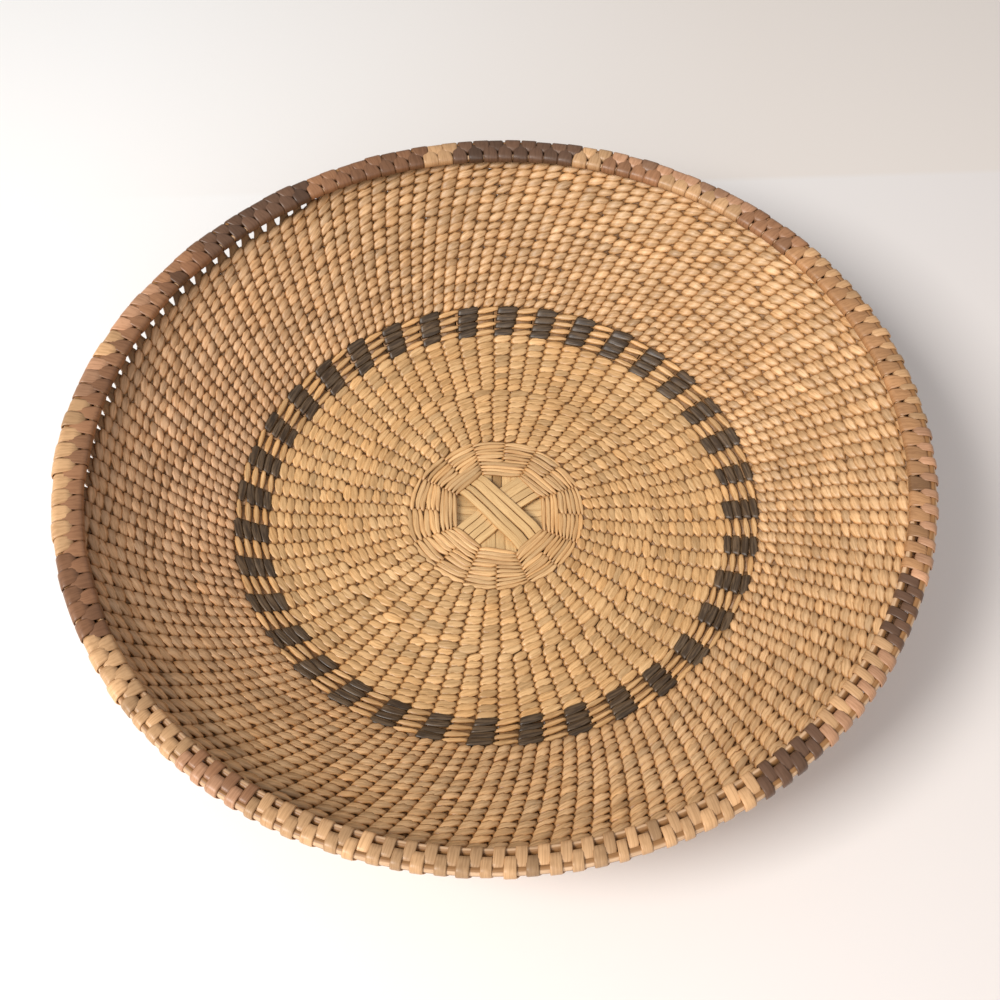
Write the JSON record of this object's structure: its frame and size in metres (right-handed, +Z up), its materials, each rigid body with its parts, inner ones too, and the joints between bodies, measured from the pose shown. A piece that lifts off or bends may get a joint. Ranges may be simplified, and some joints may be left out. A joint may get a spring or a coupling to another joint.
{
  "type": "woven centerpiece basket",
  "caption": "Shallow round twined basket with a crossed strip start, a dashed dark band at the foot of its flaring wall and a lashed double-hoop rim.",
  "frame": {"origin": "on the floor under the middle of the base", "axes": "+Z up along the bowl's axis, +X to the right and +Y away in the picture"},
  "size_m": [0.3314, 0.3314, 0.0605],
  "materials": {
    "start_strip": "pale smooth split strip",
    "binding_splint": "golden splint, satin",
    "base_weave": "golden twined splint, satin",
    "wall_weave": "browner twined splint, satin",
    "dark_weave": "dark dyed splint, slight sheen",
    "rim_hoop": "bare round cane",
    "rim_lashing": "flat splint with brown dyed lengths"
  },
  "bodies": {
    "root": {"start_top_strip_1": "start_strip", "start_top_strip_2": "start_strip", "start_top_strip_3": "start_strip", "start_top_strip_4": "start_strip", "start_second_strip_1": "start_strip", "start_second_strip_2": "start_strip", "start_second_strip_3": "start_strip", "start_second_strip_4": "start_strip", "start_third_strip_1": "start_strip", "start_third_strip_2": "start_strip", "start_third_strip_3": "start_strip", "start_third_strip_4": "start_strip", "start_bottom_strip_1": "start_strip", "start_bottom_strip_2": "start_strip", "start_bottom_strip_3": "start_strip", "start_bottom_strip_4": "start_strip", "first_binding": "binding_splint", "second_binding": "binding_splint", "base_weave_inner": "base_weave", "base_weave_outer": "base_weave", "wall_weave": "wall_weave", "band_dark_weaver": "dark_weave", "rim_inner_hoop": "rim_hoop", "rim_outer_hoop": "rim_hoop", "rim_lashing": "rim_lashing"}
  },
  "joints": []
}
